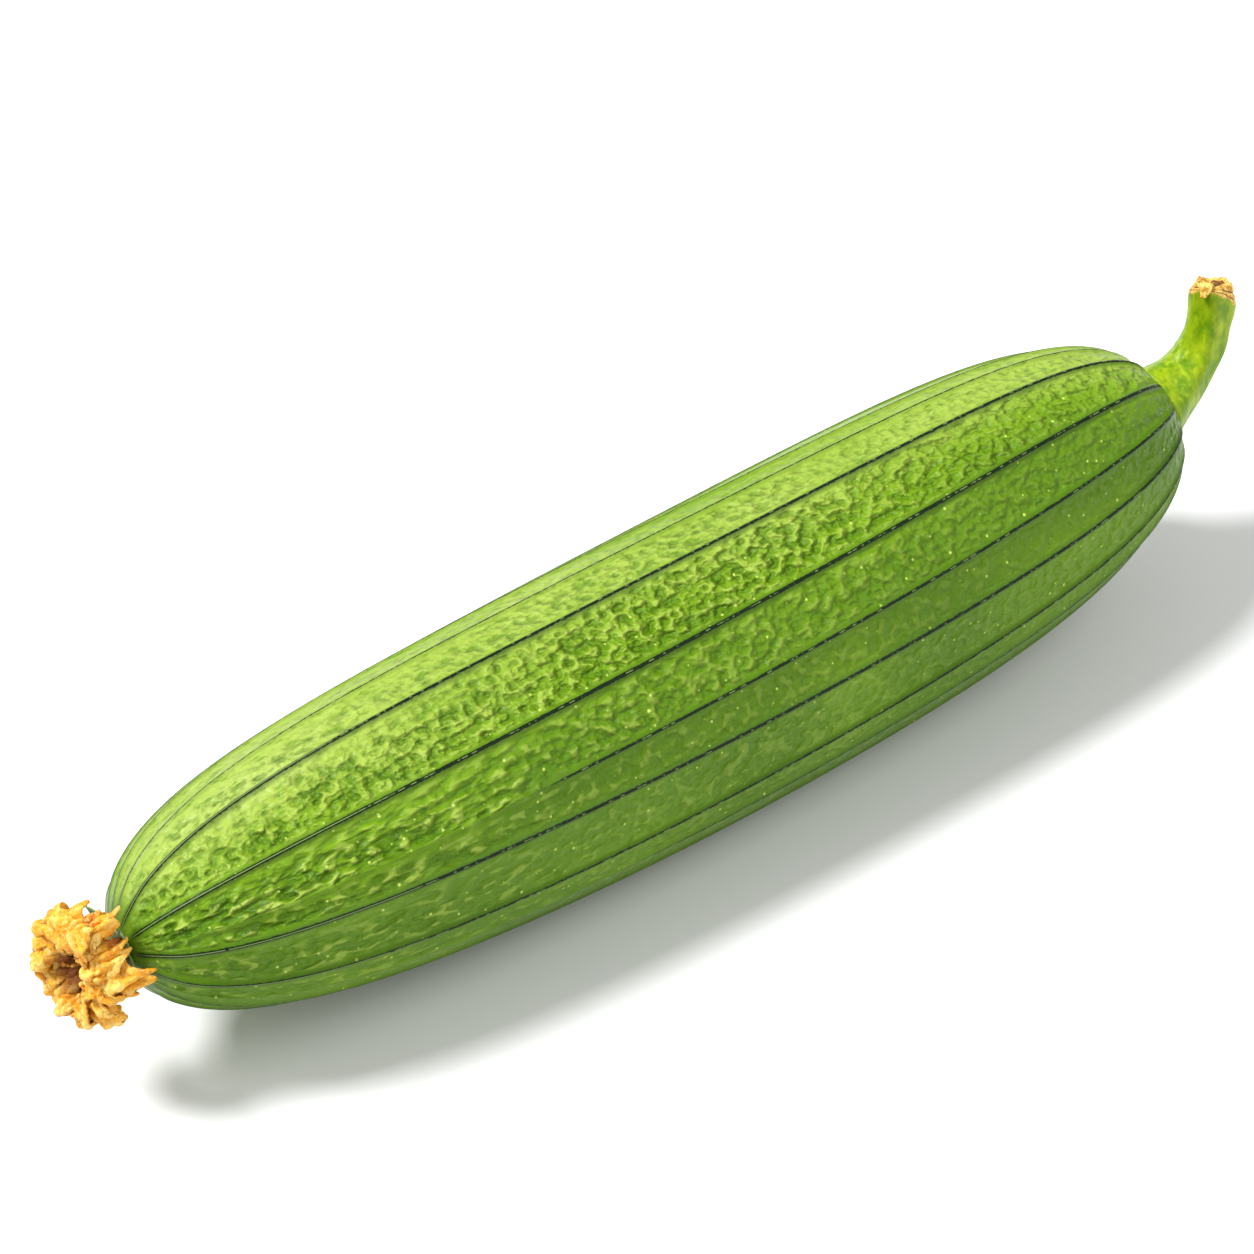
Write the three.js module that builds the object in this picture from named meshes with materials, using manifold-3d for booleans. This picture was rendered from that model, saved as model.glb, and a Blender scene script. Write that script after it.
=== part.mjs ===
// A ridge gourd as picked: the fruit lies on its belly, with its cut stalk at one end and its withered
// blossom, still held by the small green calyx, at the other.
// Millimetres. +Z is up, +X runs along the fruit towards the stalk, and -Y is the side seen in front.
import * as THREE from "three";
import { mergeVertices } from "three/addons/utils/BufferGeometryUtils.js";
import Module from "manifold-3d";

const wasm = await Module();
wasm.setup();

// Driving dimensions of the fruit
const HALF_LENGTH = 165; // from the middle to either tip
const RADIUS = 38;
// Radius over that of an ellipse, in rising powers of the station: -1 at the blossom to 1 at the stalk
const FULLNESS = [1, 0.04, 0.32, 0.05, 0.18];
const BOW = 7.5; // how much higher the fruit's axis lies at its tips than in the middle
const BOW_LEAN = 1.2; // what the stalk's tip has more, and the blossom's less
const BELLY_CUT = 0.9; // depth of the spot that is pressed flat where the fruit lies
const DIMPLE_DEPTH = 3; // the hollow in the stalk's end
const DIMPLE_RADIUS = 12;

// The ridges: degrees round the fruit from the top, over the front, and how far each drifts along it
const RIDGES = [
  [-34, 9],
  [-20, 5],
  [1, 2],
  [32, -3],
  [56, -3],
  [73, 0],
  [98, -5],
  [112, -6],
  [131, 1],
  [150, 3],
  [168, 2],
  [193, -2],
  [214, 3],
  [238, 0],
  [259, -3],
  [283, 4],
  [305, 6],
];
const RIDGE_HEIGHT = 0.7;
const RIDGE_HALF_WIDTH = 1.1;
const RIDGE_FADE = [0.95, 0.98]; // the stations, either way, between which a ridge dies out
const FLATNESS = 0.75; // of the skin between two ridges: 0 is round, and 1 is flat
const KNOB_HEIGHT = 0.3; // the skin's low knobs, in rows between the ridges
const GAP = 0.35; // clearance between pieces that touch
const SLIVER = 0.02; // what is thinner than this is dropped after a join

// Driving dimensions of the stalk, whose curve lies in the XZ plane and starts in the fruit's dimple
const STALK_CURVE = [
  [0, 0],
  [15.5, 4.5],
  [18.5, 14],
  [19, 27],
];
const STALK_RADIUS = 5.5;
const STALK_FLARE = 5.5; // how much wider it is where it meets the fruit
const STALK_RIBS = 5;
const STALK_RIB_HEIGHT = 0.35;
// The stalk's torn end rises towards one side: degrees round it from its inner side over the front
const TEAR_TURN = 51;
const SKIN_RISE = [0.9, 3.5, 1.3]; // where the skin stops: mean, lean towards its own side, and second wave
const SKIN_TURN = 20;
const RIM_RISE = [4.2, 1.8]; // the dried rim: mean and lean
const RIM_INSET = 1.7;
// Peaks and a notch in the rim: degrees, height and width
const RIM_PEAKS = [
  [293, 1.1, 20],
  [181, 0.7, 24],
  [110, 0.5, 20],
  [15, -0.5, 20],
];

// Driving dimensions of the blossom and its calyx, round an axis out of the fruit's other tip
const BLOSSOM_DROOP = 0.1; // how far it hangs down for each millimetre out of the tip
const CALYX_RADIUS = 5;
const CALYX_TURN = -6;
const SEPALS = 5;
const SEPAL_SPREAD = 0.75; // a sepal's share of the calyx's rim
const SEPAL_REACH = 12.5;
const SEPAL_RISE = 3.5;
const SEPAL_THICKNESS = 0.9;
const PETAL_THICKNESS = 1;
const PETAL_LENGTH = 20;
const HEART_HEIGHT = 6; // the middle of the blossom, out of the tip
// The withered petals' lobes: degrees round the blossom from the top over the front, the radius and
// height of the bend at the mouth, the radius and height of the tip, and half the width
const LOBES = [
  [355, 6.5, 16.5, 15, 5, 7],
  [8, 6, 13, 13.5, 1, 4.5],
  [40, 6, 13.5, 10.5, 0.5, 6],
  [92, 6, 12.5, 12, -2.5, 6.5],
  [114, 6, 13.5, 12, 5, 5.5],
  [145, 6.5, 13, 15, 4, 6.5],
  [172, 7, 15, 14, 9, 6],
  [200, 7.5, 16, 12, 13, 5.5],
  [232, 7, 16, 13.5, 9, 6.5],
  [262, 8, 17, 10.5, 15.5, 5.5],
  [278, 7, 14, 14, 5, 6],
  [302, 8, 16, 14, 12, 6],
  [334, 8, 15.5, 15, 8.5, 6],
  [66, 6, 14.5, 9.5, 7, 5],
];

const PIECE_MATERIALS = {
  fruit: new THREE.MeshStandardMaterial({ color: 0x7da334, roughness: 0.5, metalness: 0 }),
  stem: new THREE.MeshStandardMaterial({ color: 0x8aa62c, roughness: 0.45, metalness: 0 }),
  calyx: new THREE.MeshStandardMaterial({ color: 0x7c9a4e, roughness: 0.6, metalness: 0 }),
  dried_blossom: new THREE.MeshStandardMaterial({ color: 0xe09a2b, roughness: 0.55, metalness: 0 }),
};

const radians = (degrees) => (degrees * Math.PI) / 180;
const smooth = THREE.MathUtils.smoothstep;

// A closed indexed mesh from its points and faces
function meshOf(points, faces) {
  const geometry = new THREE.BufferGeometry();
  const numbers = points.flatMap((point) => point.toArray());
  geometry.setAttribute("position", new THREE.Float32BufferAttribute(numbers, 3));
  geometry.setIndex(faces.flat());
  return geometry;
}

// A closed skin over rings of equal length, drawn in to one point at each end
function skinOver(rings, start, end) {
  const count = rings[0].length;
  const points = [start, ...rings.flat(), end];
  const faces = [];
  const at = (ring, i) => 1 + ring * count + (i % count);
  for (let i = 0; i < count; i++) {
    faces.push([0, at(0, i + 1), at(0, i)]);
    faces.push([points.length - 1, at(rings.length - 1, i), at(rings.length - 1, i + 1)]);
    for (let ring = 0; ring < rings.length - 1; ring++) {
      faces.push([at(ring, i), at(ring, i + 1), at(ring + 1, i + 1)]);
      faces.push([at(ring, i), at(ring + 1, i + 1), at(ring + 1, i)]);
    }
  }
  return meshOf(points, faces);
}

// A sheet of even thickness round surface(across, along), split into triangles alike on both faces
function sheetOf(surface, columns, rows, thickness) {
  const step = 0.01;
  const faces = [];
  const front = [];
  const back = [];
  for (let row = 0; row <= rows; row++) {
    for (let column = 0; column <= columns; column++) {
      const across = (2 * column) / columns - 1;
      const along = row / rows;
      const point = surface(across, along);
      const sideways = surface(across + step, along).sub(surface(across - step, along));
      const ahead = surface(across, Math.min(along + step, 1));
      const onwards = ahead.sub(surface(across, Math.max(along - step, 0)));
      const half = sideways.cross(onwards).normalize().multiplyScalar(thickness / 2);
      front.push(point.clone().add(half));
      back.push(point.clone().sub(half));
    }
  }
  const side = columns + 1;
  const behind = front.length;
  for (let row = 0; row < rows; row++) {
    for (let column = 0; column < columns; column++) {
      const a = row * side + column;
      const [b, c, d] = [a + 1, a + side + 1, a + side];
      faces.push([a, b, c], [a, c, d]);
      faces.push([behind + a, behind + c, behind + b], [behind + a, behind + d, behind + c]);
    }
  }
  const wall = (a, b) => faces.push([b, a, behind + a], [b, behind + a, behind + b]);
  for (let column = 0; column < columns; column++) {
    wall(column, column + 1);
    wall(rows * side + column + 1, rows * side + column);
  }
  for (let row = 0; row < rows; row++) {
    wall((row + 1) * side, row * side);
    wall(row * side + columns, (row + 1) * side + columns);
  }
  return meshOf([...front, ...back], faces);
}

// three.js geometry to a solid that can be joined and cut, and back
function solidOf(geometry) {
  const bare = geometry.clone();
  bare.deleteAttribute("normal");
  bare.deleteAttribute("uv");
  const merged = mergeVertices(bare);
  return new wasm.Manifold(
    new wasm.Mesh({
      numProp: 3,
      vertProperties: merged.attributes.position.array,
      triVerts: new Uint32Array(merged.index.array),
    }),
  );
}
function geometryOf(solid) {
  const { vertProperties, triVerts } = solid.getMesh();
  const geometry = new THREE.BufferGeometry();
  geometry.setAttribute("position", new THREE.BufferAttribute(vertProperties, 3));
  geometry.setIndex(new THREE.BufferAttribute(triVerts, 1));
  return geometry;
}
const joined = (solids) => solids.reduce((a, b) => a.add(b));

// What is left of a solid without slivers, loose scraps and sealed hollows
function largestOf(solid) {
  const bodies = solid.simplify(SLIVER).decompose();
  return bodies.reduce((a, b) => (a.volume() > b.volume() ? a : b)).simplify(SLIVER);
}

// Fruit: its axis, its round section, and the skin over its ridges
function axisAt(station) {
  return new THREE.Vector3(HALF_LENGTH * station, 0, BOW * station ** 2 + BOW_LEAN * station ** 3);
}
function axisDirection(station) {
  const rise = 2 * BOW * station + 3 * BOW_LEAN * station ** 2;
  return new THREE.Vector3(HALF_LENGTH, 0, rise).normalize();
}
function fullness(station) {
  return FULLNESS.reduce((sum, share, power) => sum + share * station ** power, 0);
}
function roundRadius(station) {
  return RADIUS * Math.sqrt(Math.max(0, 1 - station ** 2)) * fullness(station);
}
// How far behind the tip the skin lies at a small radius, at the blossom (end -1) or the stalk (end 1)
function tipDrop(radius, end) {
  return (HALF_LENGTH * radius ** 2) / (2 * (RADIUS * fullness(end)) ** 2);
}
function dimpleDepth(radius) {
  return DIMPLE_DEPTH * Math.exp(-((radius / DIMPLE_RADIUS) ** 2));
}
const ridgeAngle = (ridge, station) => radians(RIDGES[ridge][0] + RIDGES[ridge][1] * station);
function nextRidgeAngle(ridge, station) {
  const next = (ridge + 1) % RIDGES.length;
  return ridgeAngle(next, station) + (next === 0 ? 2 * Math.PI : 0);
}

// The columns round the fruit: each ridge's crest and feet, and points on the skin up to the next ridge
const COLUMNS = RIDGES.flatMap(([degrees], ridge) => {
  const next = ridge + 1 < RIDGES.length ? RIDGES[ridge + 1][0] : RIDGES[0][0] + 360;
  const between = next - degrees > 28 ? 3 : next - degrees > 17 ? 2 : 1;
  const skin = Array.from({ length: between }, (_, i) => {
    return { ridge, kind: "skin", share: (i + 1) / (between + 1) };
  });
  return [{ ridge, kind: "crest" }, { ridge, kind: "foot" }, ...skin, { ridge, kind: "next foot" }];
});
const ROWS = 50;

function skinPoint(station, column, knobSide) {
  const round = roundRadius(station);
  const from = ridgeAngle(column.ridge, station);
  const to = nextRidgeAngle(column.ridge, station);
  const fade = 1 - smooth(Math.abs(station), RIDGE_FADE[0], RIDGE_FADE[1]);
  const foot = Math.min(RIDGE_HALF_WIDTH / Math.max(round, 1), (to - from) / 4);
  const angle = {
    crest: from,
    foot: from + foot,
    skin: from + foot + (to - from - 2 * foot) * (column.share ?? 0),
    "next foot": to - foot,
  }[column.kind];
  const flatSide = (round * Math.cos((to - from) / 2)) / Math.cos(angle - (from + to) / 2);
  let radius = round * (1 - FLATNESS) + flatSide * FLATNESS;
  if (column.kind === "crest") radius += RIDGE_HEIGHT * fade;
  if (column.kind === "skin") radius += KNOB_HEIGHT * knobSide * fade;
  const along = axisDirection(station);
  return axisAt(station)
    .addScaledVector(along, station > 0 ? -dimpleDepth(round) : 0)
    .addScaledVector(new THREE.Vector3(0, -1, 0), radius * Math.sin(angle))
    .addScaledVector(new THREE.Vector3(-along.z, 0, along.x), radius * Math.cos(angle));
}

// The fruit, and the height of the flat belly spot that it lies on
function makeFruit() {
  const rings = [];
  for (let row = 1; row < ROWS; row++) {
    const t = (2 * row) / ROWS - 1;
    const station = t * (1.5 - 0.5 * t ** 2);
    rings.push(COLUMNS.map((column, i) => skinPoint(station, column, (row + i) % 2 ? 1 : -1)));
  }
  const floor = Math.min(...rings.flat().map((point) => point.z)) + BELLY_CUT;
  for (const point of rings.flat()) point.z = Math.max(point.z, floor);
  const dimple = axisAt(1).addScaledVector(axisDirection(1), -DIMPLE_DEPTH);
  return { geometry: skinOver(rings, axisAt(-1), dimple), floor };
}

// Stalk: a ribbed rod that widens into the fruit, with a torn and dried end that is a little hollow
function makeStalk() {
  const outward = axisDirection(1);
  const seat = axisAt(1).addScaledVector(outward, -DIMPLE_DEPTH);
  const curve = new THREE.CubicBezierCurve3(
    ...STALK_CURVE.map(([x, z]) => new THREE.Vector3(seat.x + x, 0, seat.z + z)),
  );
  const sides = 24;
  const steps = 20;
  const ringAt = (along, radiusAt, liftAt) => {
    const centre = curve.getPoint(along);
    const tangent = outward.clone().lerp(curve.getTangent(along), smooth(along, 0, 0.3)).normalize();
    const inPlane = new THREE.Vector3(-tangent.z, 0, tangent.x);
    return Array.from({ length: sides }, (_, i) => {
      const angle = (2 * Math.PI * i) / sides;
      return centre
        .clone()
        .addScaledVector(inPlane, radiusAt(angle) * Math.cos(angle))
        .addScaledVector(new THREE.Vector3(0, -1, 0), radiusAt(angle) * Math.sin(angle))
        .addScaledVector(tangent, liftAt(angle));
    });
  };
  const radiusAt = (along) => (angle) =>
    STALK_RADIUS +
    STALK_FLARE * Math.exp(-4 * along) +
    0.7 * smooth(along, 0.75, 1) +
    STALK_RIB_HEIGHT * Math.cos(STALK_RIBS * angle + 2 * along);
  const seatHeight = (radius) => GAP + DIMPLE_DEPTH - dimpleDepth(radius) - tipDrop(radius, 1);
  const skinRise = (angle) =>
    SKIN_RISE[0] +
    SKIN_RISE[1] * Math.cos(angle - radians(SKIN_TURN)) +
    SKIN_RISE[2] * Math.cos(2 * (angle - radians(TEAR_TURN)));
  const rimRise = (angle) =>
    RIM_PEAKS.reduce(
      (rise, [middle, height, width]) => {
        const away = ((((angle * 180) / Math.PI - middle + 540) % 360) - 180) / width;
        return rise + height * Math.exp(-(away ** 2));
      },
      RIM_RISE[0] + RIM_RISE[1] * Math.cos(angle - radians(TEAR_TURN)),
    );
  const rings = [0.35, 0.7, 1].map((share) => {
    const seatRadius = (angle) => radiusAt(0)(angle) * share;
    return ringAt(0, seatRadius, (angle) => seatHeight(seatRadius(angle)));
  });
  for (let step = 1; step <= steps; step++) {
    const along = step / steps;
    rings.push(ringAt(along, radiusAt(along), (angle) => skinRise(angle) * smooth(along, 0.6, 1)));
  }
  // The dried rim leans in from where the skin stops, and the end sinks in behind it
  const endRing = (inset, liftAt) => rings.push(ringAt(1, (angle) => radiusAt(1)(angle) - inset, liftAt));
  endRing(0.6 * RIM_INSET, (angle) => (skinRise(angle) + rimRise(angle)) / 2);
  endRing(RIM_INSET, rimRise);
  endRing(RIM_INSET + 0.9, (angle) => rimRise(angle) - 0.8);
  endRing(RIM_INSET + 2.4, (angle) => rimRise(angle) - 1.4);
  const endMiddle = curve.getPoint(1).addScaledVector(curve.getTangent(1), RIM_RISE[0] - 1.6);
  return skinOver(rings, seat.addScaledVector(outward, GAP), endMiddle);
}

// Blossom and calyx share a frame: height runs out of the fruit's tip, and turn goes round it from the
// top over the front
const outOfTip = axisDirection(-1).negate();
const upAtTip = new THREE.Vector3(-outOfTip.z, 0, outOfTip.x).negate();
function blossomPoint(radius, turn, height) {
  return axisAt(-1)
    .addScaledVector(outOfTip, height)
    .addScaledVector(upAtTip, radius * Math.cos(turn) - BLOSSOM_DROOP * height)
    .addScaledVector(new THREE.Vector3(0, -1, 0), radius * Math.sin(turn));
}

// Calyx: a thin saucer on the tip, whose rim runs out into pointed sepals that stand up round the petals
function makeCalyx(grow = 0) {
  const sides = 8 * SEPALS;
  const steps = 5;
  const halfThick = SEPAL_THICKNESS / 2 + grow;
  const heightAt = (radius) =>
    GAP +
    SEPAL_THICKNESS / 2 -
    tipDrop(Math.min(radius, CALYX_RADIUS), -1) +
    SEPAL_RISE * Math.max(0, (radius - CALYX_RADIUS * 0.8) / (SEPAL_REACH - CALYX_RADIUS * 0.8)) ** 1.5;
  const ringAt = (share, side) =>
    Array.from({ length: sides }, (_, i) => {
      const acrossSepal = Math.abs((i % 8) - 4) / 4;
      const point = Math.max(0, 1 - acrossSepal / SEPAL_SPREAD) ** 0.9;
      const radius = (CALYX_RADIUS + grow + (SEPAL_REACH - CALYX_RADIUS) * point) * share;
      const slope = (heightAt(radius + 0.1) - heightAt(radius)) / 0.1;
      const length = Math.hypot(1, slope);
      return blossomPoint(
        radius - (side * halfThick * slope) / length,
        radians(CALYX_TURN) + (2 * Math.PI * i) / sides,
        heightAt(radius) + (side * halfThick) / length,
      );
    });
  const shares = Array.from({ length: steps }, (_, i) => (i + 1) / steps);
  const front = shares.map((share) => ringAt(share, 1));
  const back = shares.map((share) => ringAt(share, -1)).reverse();
  const [top, bottom] = [1, -1].map((side) => blossomPoint(0, 0, heightAt(0) + side * halfThick));
  return solidOf(skinOver([...front, ...back], top, bottom));
}

// A lobe of the withered petals: a limp sheet that rises out of the middle, bends over at the mouth and
// flops back
function lobeSurface([turn, bendRadius, bendHeight, tipRadius, tipHeight, width], number) {
  const path = new THREE.CubicBezierCurve(
    new THREE.Vector2(2.5, 2.5),
    new THREE.Vector2(bendRadius - 3.5, bendHeight),
    new THREE.Vector2(tipRadius + 1.5, bendHeight + 2),
    new THREE.Vector2(tipRadius - 0.5, tipHeight),
  );
  const phase = 1.9 * number;
  return (across, share) => {
    const rim = smooth(Math.max(Math.abs(across), share), 0.4, 1);
    const roundRim = Math.atan2(across, share - 0.35);
    const rounding = 0.21 * Math.sqrt(1 - 0.97 * across ** 2) + 0.05 * Math.sin(9 * across + phase);
    const along = share * (0.74 + rounding);
    const middle = path.getPoint(along);
    const tangent = path.getTangent(along);
    const sideways = across * width * Math.sin(Math.PI * (0.1 + 0.66 * along)) ** 0.8;
    const travel = PETAL_LENGTH * along;
    const wide = Math.sin(4.6 * across + 0.25 * travel + phase);
    const narrow = Math.sin(8 * across - 0.4 * travel + 2.3 * phase);
    const folds = wide + 0.5 * narrow;
    const dents = Math.sin(0.75 * sideways + phase) * Math.sin(0.6 * travel + 1.7 * phase);
    const ruffle = Math.sin(7 * roundRim + 2 * phase) + 0.7 * Math.sin(13 * roundRim + 0.7 * phase);
    const lift = smooth(along, 0, 0.45) * (0.5 * folds + 0.7 * dents) + 0.55 * rim * ruffle;
    const radius = Math.max(1.5, middle.x - tangent.y * lift);
    const height = middle.y + tangent.x * lift - 0.05 * sideways ** 2 * along;
    const lowest = GAP + PETAL_THICKNESS - tipDrop(radius, -1);
    const around = radians(turn) + sideways / Math.max(radius, 5);
    return blossomPoint(radius, around, Math.max(height, lowest));
  };
}

// Blossom: all the lobes, joined at the heart and cut clear of the calyx
function makeBlossom() {
  const sheets = LOBES.map((lobe, number) => sheetOf(lobeSurface(lobe, number), 5, 7, PETAL_THICKNESS));
  const heart = new THREE.SphereGeometry(4.5, 12, 6);
  heart.translate(...blossomPoint(0, 0, HEART_HEIGHT).toArray());
  return largestOf(joined([heart, ...sheets].map(solidOf)).subtract(makeCalyx(GAP)));
}

// The object, lowered so that its flat belly spot is at z = 0 and centred on its own box
const { geometry: fruit, floor } = makeFruit();
const geometries = {
  fruit,
  stem: makeStalk(),
  calyx: geometryOf(makeCalyx()),
  dried_blossom: geometryOf(makeBlossom()),
};
const gourd = new THREE.Group();
for (const [name, geometry] of Object.entries(geometries)) {
  const mesh = new THREE.Mesh(geometry, PIECE_MATERIALS[name]);
  mesh.name = name;
  gourd.add(mesh);
}
const box = new THREE.Box3().setFromObject(gourd);
gourd.position.set(-(box.min.x + box.max.x) / 2, -(box.min.y + box.max.y) / 2, -floor);

export default gourd;
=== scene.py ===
"""A ridge gourd lying on its belly: ridged green fruit, cut stalk, small calyx and withered blossom."""

import math

import bpy
import numpy as np
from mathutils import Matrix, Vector


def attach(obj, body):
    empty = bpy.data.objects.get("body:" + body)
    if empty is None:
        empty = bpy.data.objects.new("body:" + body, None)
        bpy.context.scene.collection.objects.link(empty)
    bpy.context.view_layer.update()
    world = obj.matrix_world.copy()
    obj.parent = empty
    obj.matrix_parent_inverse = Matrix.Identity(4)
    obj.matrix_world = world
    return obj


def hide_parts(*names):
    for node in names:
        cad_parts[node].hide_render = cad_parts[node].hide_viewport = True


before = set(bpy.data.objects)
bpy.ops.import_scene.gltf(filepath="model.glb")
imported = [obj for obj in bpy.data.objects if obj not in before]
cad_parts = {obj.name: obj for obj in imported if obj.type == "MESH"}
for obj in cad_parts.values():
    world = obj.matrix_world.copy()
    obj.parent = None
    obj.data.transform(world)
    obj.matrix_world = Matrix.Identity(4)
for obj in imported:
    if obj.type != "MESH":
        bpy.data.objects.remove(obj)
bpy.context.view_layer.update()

MM = 0.001
FRONT = np.array([0, -1, 0])

# Driving dimensions of the fruit, in millimetres, as in the solid model
HALF_LENGTH = 165
RADIUS = 38
FULLNESS = (1, 0.04, 0.32, 0.05, 0.18)
BOW = 7.5
BOW_LEAN = 1.2
DIMPLE_DEPTH = 3
DIMPLE_RADIUS = 12
FLATNESS = 0.75
RIDGE_HEIGHT = 0.7
RIDGE_HALF_WIDTH = 1.1
RIDGE_FADE = (0.95, 0.98)

# Each ridge: degrees round the fruit from the top over the front, its drift along the fruit, how dark
# and wide its line is, and the station where it dies out towards the blossom
RIDGES = (
    (-34, 9, 0.5, -1),
    (-20, 5, 0.45, -1),
    (1, 2, 1, -1),
    (32, -3, 1, -1),
    (56, -3, 0.75, -0.45),
    (73, 0, 1, -1),
    (98, -5, 0.8, -1),
    (112, -6, 0.6, -0.3),
    (131, 1, 0.6, -1),
    (150, 3, 0.8, -1),
    (168, 2, 0.6, -0.4),
    (193, -2, 0.9, -1),
    (214, 3, 0.7, -1),
    (238, 0, 1, -1),
    (259, -3, 0.7, -0.4),
    (283, 4, 1, -1),
    (305, 6, 0.8, -1),
)

# Knobs on the skin from each ridge to the next: their height at the blossom's end, in the middle and
# at the stalk's end
KNOBS = (
    (0.25, 0.25, 0.2),
    (0.5, 0.5, 0.35),
    (1.1, 1, 0.55),
    (0.9, 0.45, 0.3),
    (0.8, 0.35, 0.3),
    (0.5, 0.3, 0.3),
    (0.3, 0.25, 0.3),
    (0.2, 0.25, 0.3),
    (0.3, 0.3, 0.3),
    (0.3, 0.2, 0.2),
    (0.4, 0.3, 0.2),
    (0.6, 0.4, 0.3),
    (0.8, 0.6, 0.3),
    (0.9, 0.5, 0.3),
    (0.8, 0.7, 0.4),
    (0.6, 0.4, 0.3),
    (0.3, 0.25, 0.2),
)
# How far the knobs from each ridge to the next run together into streaks at the blossom's end
STREAKED = (0, 0.3, 0.15, 0.9, 0.9, 0.9, 0.9, 0.6, 0.5, 0.5, 0.5, 0.6, 0.8, 0.8, 0.5, 0.3, 0)
KNOB_STATIONS = (-0.8, 0, 0.8)
KNOB_LENGTH = 4.4
KNOB_WIDTH = 3.6
KNOB_MIDDLE = 0.35
STREAK_LENGTH = 9
SWELL_LENGTH = 17
SWELL_HEIGHT = 0.25

# Spacing of the fruit's mesh along and round it, and of the columns on half a ridge from its crest
ROW_PITCH = 1.28
COLUMN_PITCH = 1.15
RIDGE_COLUMNS = (0, 0.3, 0.65, 1)

# Painted light and shade round the fruit, paler on top and darker on the belly: degrees from the top over
# the front, and from 0, darkest, to 1
PAINTED_SHADING = (
    (-180, 0),
    (-120, 0.15),
    (-70, 0.45),
    (-35, 0.8),
    (-15, 0.92),
    (0, 0.88),
    (7, 0.76),
    (18, 0.53),
    (32, 0.35),
    (52, 0.2),
    (74, 0.22),
    (100, 0.2),
    (140, 0.1),
    (180, 0),
)
# Painted light that the blossom's end has more of on its upper side, and painted shade that makes the
# stalk's end darker
LIT_END = 0.2
SHADED_END = 0.12
TONE_PATCHES = 0.15

# Driving dimensions of the stalk, whose curve lies in the XZ plane and starts in the fruit's dimple
STALK_CURVE = ((0, 0), (15.5, 4.5), (18.5, 14), (19, 27))
STALK_LENGTH = 34
STALK_RADIUS = 5.5
STALK_FLARE = 5.5
STALK_RIBS = 5
STALK_RIB_HEIGHT = 0.35
STALK_SIDES = 120
STALK_STEPS = 110
# How deep the stalk's foot is sunk below the skin
FOOT_SUNK = 0.2
# The torn end rises towards one side: degrees round the stalk from its inner side over the front
TEAR_TURN = 51
SKIN_RISE = (0.9, 3.5, 1.3)
SKIN_TURN = 20
RIM_RISE = (4.2, 1.8)
RIM_INSET = 1.7
HOLLOW_DEPTH = 1.6
# Peaks and a notch in the dried rim: degrees, height and width
RIM_PEAKS = ((293, 1.1, 20), (181, 0.7, 24), (110, 0.5, 20), (15, -0.5, 20))
# Rings from where the skin stops up to the rim: share of the way, further inset, and how dark, painted as
# shade in the grooves
LIP_RINGS = (
    (0.05, -0.1, 0),
    (0.11, 0.35, 1),
    (0.17, 0.05, 0.1),
    (0.28, -0.15, 0),
    (0.4, 0, 0.2),
    (0.47, 0.4, 1),
    (0.54, 0, 0.1),
    (0.68, -0.15, 0),
    (0.84, -0.1, 0.1),
    (1, 0, 0),
)
# Rings from the rim into the end: inset and drop from the rim, and how dark, painted as shade in the
# hollow
HOLLOW_RINGS = (
    (0.4, 0.1, 0),
    (0.7, 0.5, 0.2),
    (1.0, 1.0, 0.9),
    (1.5, 0.9, 0.5),
    (2.2, 1.3, 1),
    (3.0, 1.4, 0.7),
)
# A flap of dried skin that is folded down over the rim: where it is round the stalk, and from its
# root to its tip the share, the radius and the height past the stalk's end
FLAP_TURN = 24
FLAP_COURSE = ((0, 3.9, 5.7), (0.2, 5.2, 6.9), (0.4, 6.4, 6.2), (1, 6.7, 3.2))
FLAP_THICKNESS = 0.5

# Driving dimensions of the blossom and its calyx, round an axis out of the fruit's other tip
BLOSSOM_DROOP = 0.1
CALYX_RADIUS = 5
CALYX_TURN = -6
CALYX_STEPS = 14
SEPALS = 5
SEPAL_SIDES = 24
SEPAL_SPREAD = 0.75
SEPAL_REACH = 12.5
SEPAL_RISE = 3.5
SEPAL_THICKNESS = 0.9
PETAL_THICKNESS = 0.7
PETAL_LENGTH = 20
LOBE_COLUMNS = 46
LOBE_ROWS = 58
# The withered petals' lobes: degrees round the blossom from the top over the front, radius and height
# of the bend at the mouth, radius and height of the tip, and half the width
LOBES = (
    (355, 6.5, 16.5, 15, 5, 7),
    (8, 6, 13, 13.5, 1, 4.5),
    (40, 6, 13.5, 10.5, 0.5, 6),
    (92, 6, 12.5, 12, -2.5, 6.5),
    (114, 6, 13.5, 12, 5, 5.5),
    (145, 6.5, 13, 15, 4, 6.5),
    (172, 7, 15, 14, 9, 6),
    (200, 7.5, 16, 12, 13, 5.5),
    (232, 7, 16, 13.5, 9, 6.5),
    (262, 8, 17, 10.5, 15.5, 5.5),
    (278, 7, 14, 14, 5, 6),
    (302, 8, 16, 14, 12, 6),
    (334, 8, 15.5, 15, 8.5, 6),
    (66, 6, 14.5, 9.5, 7, 5),
    # Small ones inside the mouth
    (20, 5.5, 10, 6, 12, 3),
    (150, 5, 9, 5.5, 11.5, 3),
    (270, 5.5, 10, 6.5, 12.5, 3),
)
# Clearance between pieces that touch
GAP = 0.35

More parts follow.
